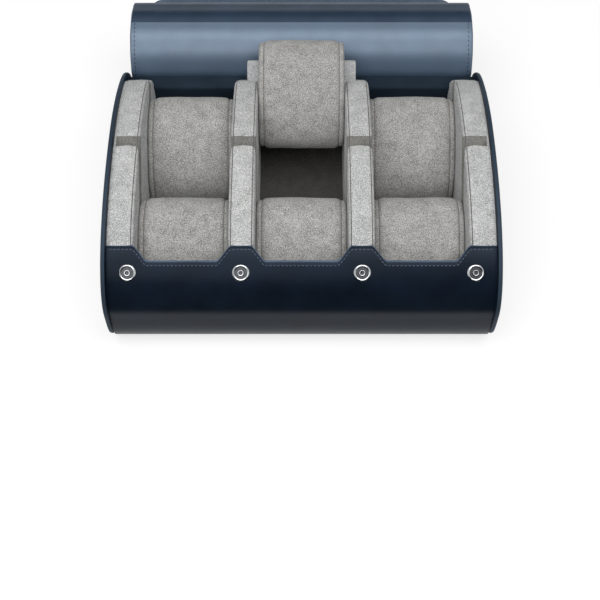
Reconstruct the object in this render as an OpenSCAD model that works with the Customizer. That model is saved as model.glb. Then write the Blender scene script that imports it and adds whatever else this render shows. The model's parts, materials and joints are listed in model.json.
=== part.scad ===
// Watch travel case: a leather box of D-shaped section with six cushions on sliding core boards and
// a flexible lid flap. Drawn open, with the middle cushion of the back row slid half out.
// +X runs across the width, the front faces -Y, +Z is up, and the origin is the middle of the flat base.

/* [Case] */
// Overall width over the two end panels
case_w = 248; // [200:1:300]
// Depth of the shell from front to back
case_d = 182; // [178:1:200]
// Height from the base to the widest level of the section
belly_h = 42; // [40:1:46]
// Height of the arch above the widest level
arch_h = 46; // [44:1:54]
// Roundness of the arch, where 2 is an ellipse
arch_power = 2.12; // [2:0.02:2.3]
// Squareness of the lower corners, where 2 is an ellipse
corner_power = 3.8; // [3.2:0.1:4.4]
// How much of the curved belly is cut flat to stand on
base_cut = 1; // [0.5:0.1:1.5]

/* [Walls] */
// Thickness of the leather outside the shell
leather_t = 1.4; // [1:0.1:2]
// Thickness of the stiffening board
board_t = 1.8; // [1.2:0.1:2.4]
// Thickness of the suede lining
lining_t = 0.8; // [0.5:0.1:1.2]
// Thickness of each end panel
panel_t = 3; // [2:0.1:4]
// How far the end panels stand out past the closed flap
panel_rim = 0.3; // [0:0.1:1]
// Section angle at which the front tabs end
front_tab_angle = 134.5; // [132:0.5:137]
// Section angle at which the back wall ends
back_top_angle = 12; // [9:1:14]

/* [Front edge] */
// Height of the tabs above the low edges, along the wall
tab_h = 10; // [6:0.5:11]
// Width of the flat top of a middle tab
tab_top_w = 13.7; // [10:0.1:16]
// Width of the flat top of an end tab
end_tab_w = 16.8; // [14:0.1:20]
// Width of each tab slope
tab_slope_w = 7.4; // [5:0.1:9]

/* [Partitions] */
// Width of each divider and end liner
partition_w = 16.5; // [13:0.5:19]
// How far the partition tops lie below the section
partition_drop = 1.2; // [0.8:0.1:2]
// Section angle at which the full-height partition tops end at the back
partition_back_angle = 33; // [32:1:35]
// How far the partitions step down behind the back slots
partition_step = 6; // [4:0.5:8]
// Skin left behind the slots of the end liners
slot_skin = 1.2; // [0.8:0.1:2]

/* [Cushions] */
// Slope of the slots, above the horizontal
slot_slope = 42; // [41:0.5:43]
// Distance of the front cushions' centres from the front of the shell
front_seat_in = 44; // [43:0.5:46]
// Distance of the back cushions' centres from the back of the shell
back_seat_in = 54.4; // [53.4:0.5:56.4]
// Height of the seated cushions' centres
seat_z = 38; // [37:0.5:40]
// Length of a cushion along the slope
cushion_l = 76; // [66:1:77]
// Thickness of a cushion
cushion_t = 44.5; // [36:0.5:45]
// Length of a core board along the slope
wing_l = 47; // [40:1:50]
// Thickness of a core board
wing_t = 4.4; // [3:0.1:5]
// How far the drawn cushion is slid out
drawn_out = 39; // [30:0.5:40]

/* [Flap] */
// Thickness of the flap
flap_t = 2.6; // [2:0.1:3]
// Gap between the shell and the closed flap
flap_gap = 1.6; // [1.4:0.1:2]
// Length of the free end that holds the snap caps
snap_strip_l = 66; // [62:1:68]
// Radius of the flap's two free corners
flap_corner_r = 12; // [6:1:16]
// Section angle at which the flap leaves the back wall
hinge_angle = 12; // [9:1:14]

/* [Snaps] */
// Section angle of the row of snaps on the front wall
snap_angle = 148; // [146:1:150]
// Distance of the snaps from the flap's free edge
snap_inset = 16.5; // [14:0.5:18]
// Distance of the outer snaps from the end panels
end_snap_inset = 13.2; // [12:0.1:15]
// Radius of a snap cap
cap_r = 5; // [4:0.1:6]
// Height of the dome of a cap
cap_h = 2.2; // [1.5:0.1:3]
// Radius of a snap stud's flange
stud_r = 4.9; // [4:0.1:6]
// Thickness of a stud's flange
flange_t = 0.7; // [0.5:0.1:0.8]
// Radius of a stud's post
post_r = 1.8; // [1.5:0.1:2]
// Height of a stud's post above the wall
post_h = 3; // [2.4:0.1:3.6]
// Thickness of the metal of a snap around its bore
snap_wall = 0.6; // [0.4:0.1:0.8]

/* [Clearances] */
// Gap between the flap's side edges and the end panels
side_gap = 0.5; // [0.3:0.1:1]
// Gap between neighbouring strips of the flap
strip_gap = 0.3; // [0.2:0.1:0.5]
// Gap between soft pieces and the walls around them
soft_gap = 0.3; // [0.2:0.1:0.6]
// Gap on each side of a wing in its slot
slot_gap = 0.3; // [0.2:0.1:0.5]
// Gap between the ends of two wings in one divider
wing_end_gap = 0.5; // [0.3:0.1:1]
// Gap around metal posts in their holes
post_gap = 0.2; // [0.1:0.05:0.3]
// How far flat snap discs stand off the curved walls
lie_gap = 0.3; // [0.3:0.05:0.4]
// Layer of glue between the flap's root and the shell
glue_gap = 0.1; // [0.05:0.05:0.2]

/* [Hidden] */
ROWS = ["front", "back"];
COLUMNS = ["left", "middle", "right"];
// Lengths of the flap's strips as shares of what lies before the free end, short where it bends most
STRIP_SHARES = [15, 15, 16, 16, 16, 16, 29, 17];
// Directions in which the strips run when the flap is open, in degrees above straight back
OPEN_WAYS = [66, 40, 11, -20, -60, -102, -121, -64, 10];

navy = "#1f2d3f";
suede = "#a9a6a1";
grey_board = "#77736c";
nickel = "#c9ccd0";

wall_t = leather_t + board_t + lining_t;
inner_w = case_w - 2 * panel_t;
flap_w = inner_w - 2 * side_gap;
flap_out = flap_gap + flap_t;
hinge_out = flap_gap + flap_t / 2;
cell_w = (inner_w - 4 * partition_w) / 3;
cell_step = cell_w + partition_w;
cushion_w = cell_w - 2 * soft_gap;
wing_w = cell_w + partition_w - wing_end_gap;
slot_t = wing_t + 2 * slot_gap;
snap_x = [-inner_w / 2 + end_snap_inset, -cell_step / 2, cell_step / 2, inner_w / 2 - end_snap_inset];
snap_bore_r = post_r + post_gap;
rivet_r = snap_bore_r + snap_wall;
washer_z = leather_t + board_t + lie_gap;
washer_t = lining_t - lie_gap / 2;
socket_t = flap_gap - lie_gap - flange_t - post_gap;
front_seat = case_d / 2 - front_seat_in;
back_seat = case_d / 2 - back_seat_in;
section_steps = 120;
ellipse_steps = 40;
arc_steps = 300;
arc_end_angle = 230;
reach = 120;
eps = 0.01;

// ---- Section of the case, in the YZ plane -------------------------------------------------------

function signed_pow(v, p) = sign(v) * pow(abs(v), p);

// A point of the section, "out" millimetres outside the shell's own outline. Angle 0 is the back,
// 90 the crown and 180 the front.
function section_point(out, angle) =
    let (upper = sin(angle) >= 0,
         p = 2 / (upper ? arch_power : corner_power),
         rise = upper ? arch_h + out : belly_h + base_cut + out,
         y = (case_d / 2 + out) * signed_pow(cos(angle), p),
         z = belly_h + rise * signed_pow(sin(angle), p))
    [y, max(z, 0, -out)];

// Direction in which the section runs towards the front, in degrees from +Y.
function section_heading(out, angle) =
    let (d = section_point(out, angle + 0.5) - section_point(out, angle - 0.5))
    atan2(d[1], d[0]);

// Points of the section from one angle to another, about one for each step of the whole round.
function section_run(out, a0, a1) =
    let (n = ceil(abs(a1 - a0) * section_steps / 360))
    [for (i = [0:n]) section_point(out, a0 + (a1 - a0) * i / n)];

module band(out, in, a0, a1) {
    polygon(concat(section_run(out, a0, a1), section_run(in, a1, a0)));
}

// Extrudes a YZ outline along X between x0 and x1.
module across(x0, x1) {
    translate([x0, 0, 0]) rotate([90, 0, 90]) linear_extrude(x1 - x0) children();
}

// Stands children on the section's surface at an angle: +Y climbs the wall and +Z points outwards.
module on_section(x, out, angle) {
    p = section_point(out, angle);
    translate([x, p[0], p[1]]) rotate([section_heading(out, angle) - 180, 0, 0]) children();
}

module at_snaps(out) {
    for (x = snap_x) on_section(x, out, snap_angle) children();
}

// ---- Walls --------------------------------------------------------------------------------------

// The dips between the tabs of the front edge, as blocks through the wall.
module edge_dips() {
    starts = [-inner_w / 2 + end_tab_w, -cell_step / 2 + tab_top_w / 2, cell_step / 2 + tab_top_w / 2];
    ends = [-cell_step / 2 - tab_top_w / 2, cell_step / 2 - tab_top_w / 2, inner_w / 2 - end_tab_w];
    on_section(0, 0, front_tab_angle)
        for (i = [0:2])
            translate([0, 0, -2 * wall_t]) linear_extrude(4 * wall_t)
                polygon([[starts[i], tab_h], [starts[i], 0], [starts[i] + tab_slope_w, -tab_h],
                         [ends[i] - tab_slope_w, -tab_h], [ends[i], 0], [ends[i], tab_h]]);
}

// One layer of the wrap that forms front wall, base and back wall.
module wall_layer(out, in) {
    difference() {
        across(-inner_w / 2, inner_w / 2) band(out, in, front_tab_angle, 360 + back_top_angle);
        edge_dips();
    }
}

module shell_leather() {
    color(navy) difference() {
        wall_layer(0, -leather_t);
        at_snaps(0) cylinder(h = 4 * wall_t, r = snap_bore_r, center = true, $fn = 32);
    }
}

module shell_board() {
    color(grey_board) difference() {
        wall_layer(-leather_t, -leather_t - board_t);
        at_snaps(0) cylinder(h = 4 * wall_t, r = snap_bore_r, center = true, $fn = 32);
    }
}

module suede_lining() {
    color(suede) difference() {
        wall_layer(-leather_t - board_t, -wall_t);
        at_snaps(0) cylinder(h = 4 * wall_t, r = cap_r + post_gap, center = true, $fn = 32);
    }
}

module end_panel(side) {
    inner = side * inner_w / 2;
    outer = side * case_w / 2;
    color(navy) across(min(inner, outer), max(inner, outer))
        polygon(section_run(flap_out + panel_rim, 0, 360 - 360 / section_steps));
}

// ---- Partitions ---------------------------------------------------------------------------------

// Side outline of a divider: just under the section along the arch, and inside the walls below it.
module partition_outline() {
    top = -partition_drop;
    walled = -wall_t - soft_gap;
    front = front_tab_angle - 1;
    polygon(concat(
        section_run(top, front, partition_back_angle),
        section_run(top - partition_step, partition_back_angle, back_top_angle + 1),
        section_run(walled, back_top_angle, front - 360)));
}

// A slot for wings, open at its upper end.
module slot(seat_y) {
    translate([seat_y, seat_z]) rotate(slot_slope)
        translate([-wing_l / 2 - slot_gap, -slot_t / 2]) square([reach, slot_t]);
}

module partition(x0, x1, slot_x0, slot_x1) {
    color(suede) difference() {
        across(x0, x1) partition_outline();
        across(slot_x0, slot_x1) slot(-front_seat);
        across(slot_x0, slot_x1) slot(back_seat);
    }
}

module end_liner_left() {
    outer = -inner_w / 2;
    partition(outer, outer + partition_w, outer + slot_skin, outer + partition_w + 1);
}

module end_liner_right() {
    outer = inner_w / 2;
    partition(outer - partition_w, outer, outer - partition_w - 1, outer - slot_skin);
}

module divider(side) {
    middle = side * cell_step / 2;
    partition(middle - partition_w / 2, middle + partition_w / 2,
              middle - partition_w / 2 - 1, middle + partition_w / 2 + 1);
}

// ---- Cushions on their core boards --------------------------------------------------------------

function is_drawn(row, column) = row == "back" && column == "middle";

// Places an outline drawn along the slope at a cushion's centre.
module at_cushion(row, column) {
    seat_y = row == "front" ? -front_seat : back_seat;
    out = is_drawn(row, column) ? drawn_out : 0;
    translate([seat_y, seat_z]) rotate(slot_slope) translate([out, 0]) children();
}

function column_x(column) = cell_step * (search([column], COLUMNS)[0] - 1);

module board_outline() {
    square([wing_l, wing_t], center = true);
}

module cushion(row, column) {
    x = column_x(column);
    color(suede) across(x - cushion_w / 2, x + cushion_w / 2) at_cushion(row, column) difference() {
        polygon([for (i = [0:ellipse_steps - 1])
            let (a = 360 * i / ellipse_steps) [cos(a) * cushion_l / 2, sin(a) * cushion_t / 2]]);
        board_outline();
    }
}

module core_board(row, column) {
    x = column_x(column);
    color(suede) across(x - wing_w / 2, x + wing_w / 2) at_cushion(row, column) board_outline();
}

// ---- Flap ---------------------------------------------------------------------------------------

function arc_angle(i) = (arc_end_angle + hinge_angle) * i / arc_steps - hinge_angle;
function arc_point(i) = section_point(hinge_out, arc_angle(i));

// Length along the middle of the closed flap from the lower end of its root, against the section angle.
ARC = [for (i = 0, s = 0; i <= arc_steps; i = i + 1, s = s + norm(arc_point(i) - arc_point(i - 1)))
    [s, arc_angle(i)]];
ANGLE_TO_ARC = [for (e = ARC) [e[1], e[0]]];

function sum_to(list, n) = n <= 0 ? 0 : list[n - 1] + sum_to(list, n - 1);

root_l = lookup(hinge_angle, ANGLE_TO_ARC);
flap_l = lookup(snap_angle, ANGLE_TO_ARC) - root_l + snap_inset;
strips = len(STRIP_SHARES) + 1;
shares_sum = sum_to(STRIP_SHARES, strips - 1);
STATIONS = concat(
    [for (i = [0:strips - 1]) sum_to(STRIP_SHARES, i) / shares_sum * (flap_l - snap_strip_l)],
    [flap_l]);

function station_angle(s) = lookup(root_l + s, ARC);

STATION_ANGLES = [for (s = STATIONS) station_angle(s)];
CLOSED_HINGES = [for (a = STATION_ANGLES) section_point(hinge_out, a)];
CHORDS = [for (i = [0:strips - 1]) CLOSED_HINGES[i + 1] - CLOSED_HINGES[i]];
CLOSED_WAYS = [for (d = CHORDS) (atan2(d[1], d[0]) + 360) % 360];
STRIP_TURNS = [for (i = [0:strips - 1]) CLOSED_WAYS[i] - OPEN_WAYS[i]];
OPEN_HINGES = [for (i = 0, p = CLOSED_HINGES[0]; i < strips;
                    p = p + norm(CHORDS[i]) * [cos(OPEN_WAYS[i]), sin(OPEN_WAYS[i])], i = i + 1) p];

// How far strip i turns at its hinge between open and closed.
function bend(i) = STRIP_TURNS[i] - (i > 0 ? STRIP_TURNS[i - 1] : 0);

// Part of the gap before strip i that is cut from each side of its hinge, so that the edges clear each
// other when the joint bends.
function trim(i) = i >= strips ? 0 : strip_gap / 2 + flap_t / 2 * tan(abs(bend(i)) / 2);

function strip_name(i) = str("flap_strip_", i < 9 ? "0" : "", i + 1);

// Turns a closed strip's outline, or anything on it, to where the strip lies open.
module opened(i) {
    translate(OPEN_HINGES[i]) rotate(-STRIP_TURNS[i]) translate(-CLOSED_HINGES[i]) children();
}

module opened_solid(i) {
    translate([0, OPEN_HINGES[i][0], OPEN_HINGES[i][1]]) rotate([-STRIP_TURNS[i], 0, 0])
        translate([0, -CLOSED_HINGES[i][0], -CLOSED_HINGES[i][1]]) children();
}

module flap_root() {
    color(navy) across(-flap_w / 2, flap_w / 2)
        band(flap_out, glue_gap, -hinge_angle, station_angle(-trim(0)));
}

module strip_outline(i) {
    band(flap_out, flap_gap, station_angle(STATIONS[i] + trim(i)), station_angle(STATIONS[i + 1] - trim(i + 1)));
}

// What lies outside the rounded free corners of the flap.
module corner_cuts() {
    for (side = [-1, 1])
        on_section(side * flap_w / 2, hinge_out, STATION_ANGLES[strips])
            translate([0, 0, -reach / 4]) linear_extrude(reach / 2) difference() {
                square(2 * flap_corner_r, center = true);
                translate([-side * flap_corner_r, flap_corner_r]) circle(r = flap_corner_r, $fn = 64);
            }
}

module flap_strip(i) {
    if (i < strips - 1)
        color(navy) across(-flap_w / 2, flap_w / 2) opened(i) strip_outline(i);
    else
        color(navy) opened_solid(i) difference() {
            across(-flap_w / 2, flap_w / 2) strip_outline(i);
            corner_cuts();
            at_snaps(0) cylinder(h = 2 * wall_t + 2 * flap_out, r = rivet_r, center = true, $fn = 32);
        }
}

// ---- Snaps --------------------------------------------------------------------------------------

module snap_studs() {
    color(nickel) at_snaps(0) rotate_extrude($fn = 32) difference() {
        union() {
            square([stud_r, flange_t]);
            square([post_r, post_h]);
            translate([0, -washer_z]) square([post_r, washer_z + eps]);
        }
        translate([0, flange_t]) square([post_r / 2, post_h]);
    }
}

module snap_washers() {
    color(nickel) at_snaps(0) translate([0, 0, -washer_z - washer_t])
        cylinder(h = washer_t, r = cap_r, $fn = 32);
}

module snap_caps() {
    dome_r = (pow(cap_r, 2) + pow(cap_h, 2)) / (2 * cap_h);
    color(nickel) opened_solid(strips - 1) at_snaps(0) rotate_extrude($fn = 32) {
        translate([0, flap_out]) intersection() {
            translate([0, cap_h - dome_r]) circle(r = dome_r, $fn = 96);
            square([cap_r, cap_h]);
        }
        translate([snap_bore_r, flap_gap - lie_gap]) square([snap_wall, flap_t + lie_gap + eps]);
    }
}

module snap_sockets() {
    color(nickel) opened_solid(strips - 1) at_snaps(0) rotate_extrude($fn = 32)
        translate([snap_bore_r, flap_gap - lie_gap - socket_t]) square([stud_r - snap_bore_r, socket_t]);
}

shell_leather();
shell_board();
suede_lining();
end_panel(-1);  // end_panel_left
end_panel(1);  // end_panel_right
end_liner_left();
end_liner_right();
divider(-1);  // divider_left
divider(1);  // divider_right
for (r = ROWS) for (c = COLUMNS) {
    cushion(r, c);
    core_board(r, c);
}
for (i = [0:strips - 1])
    flap_strip(i);
flap_root();
snap_studs();
snap_washers();
snap_caps();
snap_sockets();
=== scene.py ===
import json
import math

import bpy
import numpy as np
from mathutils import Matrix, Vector, noise


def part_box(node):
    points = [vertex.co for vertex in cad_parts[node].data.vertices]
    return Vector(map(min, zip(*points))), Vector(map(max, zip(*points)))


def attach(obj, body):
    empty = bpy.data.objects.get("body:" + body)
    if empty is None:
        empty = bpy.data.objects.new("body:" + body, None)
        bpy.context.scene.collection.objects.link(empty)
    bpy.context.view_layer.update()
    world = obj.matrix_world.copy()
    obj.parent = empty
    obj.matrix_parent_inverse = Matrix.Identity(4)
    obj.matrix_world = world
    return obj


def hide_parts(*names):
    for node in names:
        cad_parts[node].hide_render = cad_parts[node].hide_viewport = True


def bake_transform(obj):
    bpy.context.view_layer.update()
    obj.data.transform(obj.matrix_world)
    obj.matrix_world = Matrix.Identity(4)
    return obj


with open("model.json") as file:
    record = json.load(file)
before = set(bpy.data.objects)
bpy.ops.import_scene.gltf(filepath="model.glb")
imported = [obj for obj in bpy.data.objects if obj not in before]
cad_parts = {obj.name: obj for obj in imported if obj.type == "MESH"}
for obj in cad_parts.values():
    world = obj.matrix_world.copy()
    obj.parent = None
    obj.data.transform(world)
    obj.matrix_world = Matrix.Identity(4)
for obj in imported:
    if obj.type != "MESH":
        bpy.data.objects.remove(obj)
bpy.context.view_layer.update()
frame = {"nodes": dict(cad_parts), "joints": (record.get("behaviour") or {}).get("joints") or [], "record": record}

# Watch travel case: navy leather outside, grey suede inside. Lengths are in millimetres unless a name
# says otherwise, and MM turns them into Blender's metres.

MM = 0.001

# ---- Sizes ----

case_low, case_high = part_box("end_panel_left")
CASE_W = -2 * case_low.x / MM
PANEL_T = (case_high.x - case_low.x) / MM
PANEL_RIM = 0.3

# The shell's section: a flat arch over a belly with tight lower corners.
CASE_D = 182
BELLY_H = 42
ARCH_H = 46
ARCH_POWER = 2.12
CORNER_POWER = 3.8
BASE_CUT = 1

# Walls. Angles are those of the section, from the back over the crown to the front.
WRAP_T = 3.2
LINING_T = 0.8
WALL_T = WRAP_T + LINING_T
FRONT_TAB_ANGLE = 134.5
BACK_TOP_ANGLE = 12
TAB_H = 10
TAB_TOP_W = 13.7
END_TAB_W = 16.8
TAB_SLOPE_W = 7.4

# Partitions and the slots that the seats slide in.
PARTITION_W = 16.5
PARTITION_STEP = 2.5
SLOT_SKIN = 1.2
SLOT_SLOPE = math.radians(42)
SLOT_T = 5

# Seats: places of their middles, cushions, and the boards that end in wings.
FRONT_SEAT = 47
BACK_SEAT = 36.6
SEAT_Z = 38
CUSHION_L = 76
CUSHION_T = 44.5
WING_L = 47
WING_T = 4.4
DRAWN_OUT = 39
SOFT_GAP = 0.3

# Flap. It lies FLAP_GAP over the shell when closed.
FLAP_T = 2.6
FLAP_GAP = 1.6
FLAP_OUT = FLAP_GAP + FLAP_T
FLAP_MID = FLAP_GAP + FLAP_T / 2
SNAP_STRIP_L = 66
FLAP_CORNER_R = 12
HINGE_ANGLE = 12

# Snaps.
SNAP_ANGLE = 148
END_SNAP_INSET = 13.2
SNAP_R = 5.3

INNER_W = CASE_W - 2 * PANEL_T
FLAP_W = INNER_W - 1
CELL_W = (INNER_W - 4 * PARTITION_W) / 3
CELL_STEP = CELL_W + PARTITION_W
CUSHION_W = CELL_W - 2 * SOFT_GAP
WING_W = CELL_STEP - 0.5
SNAP_X = [-INNER_W / 2 + END_SNAP_INSET, -CELL_STEP / 2, CELL_STEP / 2, INNER_W / 2 - END_SNAP_INSET]
ROWS = ("front", "back")
COLUMNS = ("left", "middle", "right")
SIDES = ((-1, "left"), (1, "right"))


# ---- Section of the case, in the YZ plane ----

def signed_pow(value, power):
    return math.copysign(abs(value) ** power, value)


def section_point(out, angle):
    """A point "out" outside the shell's outline. Angle 0 is the back, 90 the crown and 180 the front."""
    s, c = math.sin(math.radians(angle)), math.cos(math.radians(angle))
    upper = s >= 0
    power = 2 / (ARCH_POWER if upper else CORNER_POWER)
    rise = ARCH_H + out if upper else BELLY_H + BASE_CUT + out
    y = (CASE_D / 2 + out) * signed_pow(c, power)
    z = BELLY_H + rise * signed_pow(s, power)
    return np.array([y, max(z, 0, -out)])


def section_heading(out, angle):
    """Direction in which the section runs towards the front, in degrees from +Y."""
    step = section_point(out, angle + 0.5) - section_point(out, angle - 0.5)
    return math.degrees(math.atan2(step[1], step[0]))


class Path:
    """A line in a plane that is read by length along it."""

    def __init__(self, points):
        self.points = np.array(points, float)
        steps = np.hypot(*np.diff(self.points, axis=0).T)
        self.lengths = np.concatenate([[0], np.cumsum(steps)])
        self.length = self.lengths[-1]

    def at(self, s):
        return np.array([np.interp(s, self.lengths, self.points[:, k]) for k in (0, 1)])

    def along(self, s):
        """The way the line runs at s, of length 1."""
        reach = 0.4
        step = self.at(min(s + reach, self.length)) - self.at(max(s - reach, 0))
        return step / np.hypot(*step)


def section_path(out, start, end, steps=400):
    return Path([section_point(out, start + (end - start) * i / steps) for i in range(steps + 1)])


def unit(degrees):
    return np.array([math.cos(math.radians(degrees)), math.sin(math.radians(degrees))])


def turned(point, degrees, centre):
    c, s = unit(degrees)
    dy, dz = np.array(point) - centre
    return np.array([centre[0] + c * dy - s * dz, centre[1] + s * dy + c * dz])


# ---- Mesh tools ----

def deselect_all():
    if bpy.context.object and bpy.context.object.mode != "OBJECT":
        bpy.ops.object.mode_set(mode="OBJECT")
    bpy.ops.object.select_all(action="DESELECT")


def pick(piece):
    deselect_all()
    piece.select_set(True)
    bpy.context.view_layer.objects.active = piece


def in_edit(piece, *operations):
    """Runs edit mode operators on the whole mesh, one after the other."""
    pick(piece)
    bpy.ops.object.mode_set(mode="EDIT")
    bpy.ops.mesh.select_all(action="SELECT")
    for operation in operations:
        operation()
    bpy.ops.object.mode_set(mode="OBJECT")


def smooth(piece, degrees=35):
    pick(piece)
    bpy.ops.object.shade_smooth_by_angle(angle=math.radians(degrees))


def patch(name, columns, rows, place, closed=False):
    """A grid whose corners place(u, v) sets, u and v from 0 to 1. A closed one meets itself and has its
    ends filled."""
    deselect_all()
    bpy.ops.mesh.primitive_grid_add(x_subdivisions=columns, y_subdivisions=rows, size=1)
    piece = bpy.context.object
    piece.name = piece.data.name = name
    for vertex in piece.data.vertices:
        u, v = vertex.co.x + 0.5, vertex.co.y + 0.5
        vertex.co = Vector(place(u, v)) * MM
    operations = [lambda: bpy.ops.mesh.remove_doubles(threshold=1e-6)]
    if closed:
        operations.append(lambda: bpy.ops.mesh.fill_holes(sides=0))
    operations.append(lambda: bpy.ops.mesh.normals_make_consistent(inside=False))
    in_edit(piece, *operations)
    smooth(piece)
    return piece


def finish_with(piece, *materials):
    piece.data.materials.clear()
    for material in materials:
        piece.data.materials.append(material)


def ring_loft(name, rings, *materials):
    """A closed solid through rings with equally many points each, and flat ends."""
    columns, rows = len(rings) - 1, len(rings[0])

    def place(u, v):
        return rings[round(u * columns)][round(v * rows) % rows]

    piece = patch(name, columns, rows, place, closed=True)
    finish_with(piece, *materials)
    return piece


def join(first, *others):
    pick(first)
    for other in others:
        other.select_set(True)
    bpy.ops.object.join()
    return first


def paint(piece, slot, chosen):
    """Gives the faces that chosen(centre, normal) picks, in millimetres, another material slot."""
    for face in piece.data.polygons:
        if chosen(face.center / MM, face.normal):
            face.material_index = slot


# ---- Materials ----

def linear(hex_colour):
    values = [int(hex_colour[i:i + 2], 16) / 255 for i in (1, 3, 5)]
    return [v / 12.92 if v <= 0.04045 else ((v + 0.055) / 1.055) ** 2.4 for v in values] + [1]


def node(tree, kind, settings=(), **links):
    """Adds a node. Settings go to its properties or sockets, and links join its sockets to outputs."""
    made = tree.nodes.new(kind)
    for key, value in dict(settings).items():
        if isinstance(key, str) and hasattr(made, key):
            setattr(made, key, value)
        else:
            made.inputs[key].default_value = value
    for key, output in links.items():
        tree.links.new(output, made.inputs[key.replace("_", " ")])
    return made


def new_material(name, **settings):
    material = bpy.data.materials.new(name)
    material.use_nodes = True
    shader = material.node_tree.nodes["Principled BSDF"]
    for key, value in settings.items():
        shader.inputs[key.replace("_", " ")].default_value = value
    return material, material.node_tree, shader


def place_on(tree):
    """Where a point lies on its piece, for textures that keep their size when it moves."""
    return node(tree, "ShaderNodeTexCoord").outputs["Object"]


def noise_at(tree, where, size_mm, detail):
    settings = {"Scale": 1 / (size_mm * MM), "Detail": detail}
    return node(tree, "ShaderNodeTexNoise", settings, Vector=where).outputs["Fac"]


def ranged(tree, value, low, high):
    """Maps a value from 0 to 1 to one from low to high."""
    return node(tree, "ShaderNodeMapRange", {"To Min": low, "To Max": high}, Value=value).outputs["Result"]


def raise_surface(tree, shader, height, strength, depth_mm, **under):
    """Gives the shader a bump, over the one below it if Normal is set."""
    settings = {"Strength": strength, "Distance": depth_mm * MM}
    normal = node(tree, "ShaderNodeBump", settings, Height=height, **under).outputs["Normal"]
    tree.links.new(normal, shader.inputs["Normal"])
    return normal


def two_tone(tree, factor, low, high, dark, light):
    """A ramp between two colours, from factor low to high."""
    ramp = node(tree, "ShaderNodeValToRGB", Fac=factor)
    for stop, place, colour in zip(ramp.color_ramp.elements, (low, high), (dark, light)):
        stop.position, stop.color = place, linear(colour)
    return ramp.outputs["Color"]


GRAIN_SIZE = 0.9


def leather(name, dark, light, roughness, specular=0.5, gloss_index=1.5):
    """Smooth finished calf leather: aniline dye lies in slow clouds, the wax top coat shines softly and a
    little blue, and the pressed grain is too fine to see apart."""
    material, tree, shader = new_material(name, Specular_IOR_Level=specular, IOR=gloss_index)
    shader.inputs["Specular Tint"].default_value = linear("#d8e8fb")
    where = place_on(tree)
    clouds = noise_at(tree, where, size_mm=22, detail=4)
    tree.links.new(two_tone(tree, clouds, 0.3, 0.7, dark, light), shader.inputs["Base Color"])
    wear = noise_at(tree, where, size_mm=9, detail=5)
    tree.links.new(ranged(tree, wear, roughness - 0.05, roughness + 0.07), shader.inputs["Roughness"])
    grain = node(tree, "ShaderNodeTexVoronoi", {"Scale": 1 / (GRAIN_SIZE * MM)}, Vector=where)
    waves = noise_at(tree, where, size_mm=14, detail=3)
    soft = raise_surface(tree, shader, waves, strength=0.12, depth_mm=0.6)
    raise_surface(tree, shader, grain.outputs["Distance"], strength=0.12, depth_mm=0.05, Normal=soft)
    return material


NAP_FLECK = 0.09
CLOUD_SHARE = 0.18


def suede(name, dark, light):
    """Napped microfibre suede: short fibres lie in different directions, so it is flecked light and dark at
    about half a millimetre, has slow stroked clouds, and never shines."""
    material, tree, shader = new_material(name, Roughness=0.95, Specular_IOR_Level=0.1,
                                          Sheen_Weight=0.2, Sheen_Roughness=0.5)
    where = place_on(tree)
    nap = noise_at(tree, where, size_mm=0.44, detail=2)
    clouds = noise_at(tree, where, size_mm=7, detail=4)
    both = node(tree, "ShaderNodeMath", {"operation": "MULTIPLY_ADD", 1: CLOUD_SHARE}, Value=clouds)
    tree.links.new(nap, both.inputs[2])
    middle = (1 + CLOUD_SHARE) / 2
    colour = two_tone(tree, both.outputs["Value"], middle - NAP_FLECK, middle + NAP_FLECK, dark, light)
    tree.links.new(colour, shader.inputs["Base Color"])
    raise_surface(tree, shader, nap, strength=0.4, depth_mm=0.25)
    return material


def thread(name, colour):
    """Waxed polyester thread: twisted, so it is barred across its length."""
    material, tree, shader = new_material(name, Roughness=0.55, Specular_IOR_Level=0.4)
    shader.inputs["Base Color"].default_value = linear(colour)
    twist = noise_at(tree, place_on(tree), size_mm=0.3, detail=1)
    raise_surface(tree, shader, twist, strength=0.4, depth_mm=0.08)
    return material


def nickel(name, colour, smoothest=0.08):
    """Nickel plate on stamped brass: mirror bright, with hairline scuffs that blur it here and there."""
    material, tree, shader = new_material(name, Metallic=1.0)
    shader.inputs["Base Color"].default_value = linear(colour)
    scuffs = noise_at(tree, place_on(tree), size_mm=1.5, detail=6)
    tree.links.new(ranged(tree, scuffs, smoothest, smoothest + 0.15), shader.inputs["Roughness"])
    return material


navy_leather = leather("Navy calf leather", "#0c141e", "#121c29", roughness=0.32, specular=0.14)
# Painted sheen: the flap's outside is the same navy leather as the wall, with a lighter base colour standing for
# the sheen that the light from above and in front gives it.
flap_leather_painted_sheen = leather("Navy leather outside the flap", "#2f4054", "#3a4e65", roughness=0.55, specular=0.9)
# Partly painted sheen: the satin facing really shines, and its base colour is also lightened to widen the sheen
# band.
satin_leather_painted_sheen = leather("Satin navy leather, the facing inside the flap", "#2a3b4d", "#34485c",
                        roughness=0.56, specular=1.0, gloss_index=1.8)
bare_leather = leather("Smooth navy leather inside the flap's end", "#1f2d3d", "#293a4e",
                       roughness=0.42, specular=0.6)
dull_leather = leather("Dull navy leather, turned in at the back", "#232f3b", "#2d3a48",
                       roughness=0.6, specular=0.3)
# Partly painted highlight: edge paint, made lighter for the light that catches the thin edges.
edge_paint_and_highlight = leather("Painted leather edge", "#4a586b", "#5c6b80", roughness=0.4)
partition_suede = suede("Light grey microfibre suede", "#898a8a", "#d9dad9")
cushion_suede = suede("Mid grey microfibre suede", "#737270", "#c2c1be")
wing_suede = suede("Grey suede over board", "#8c8d8e", "#cacbcc")
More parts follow.
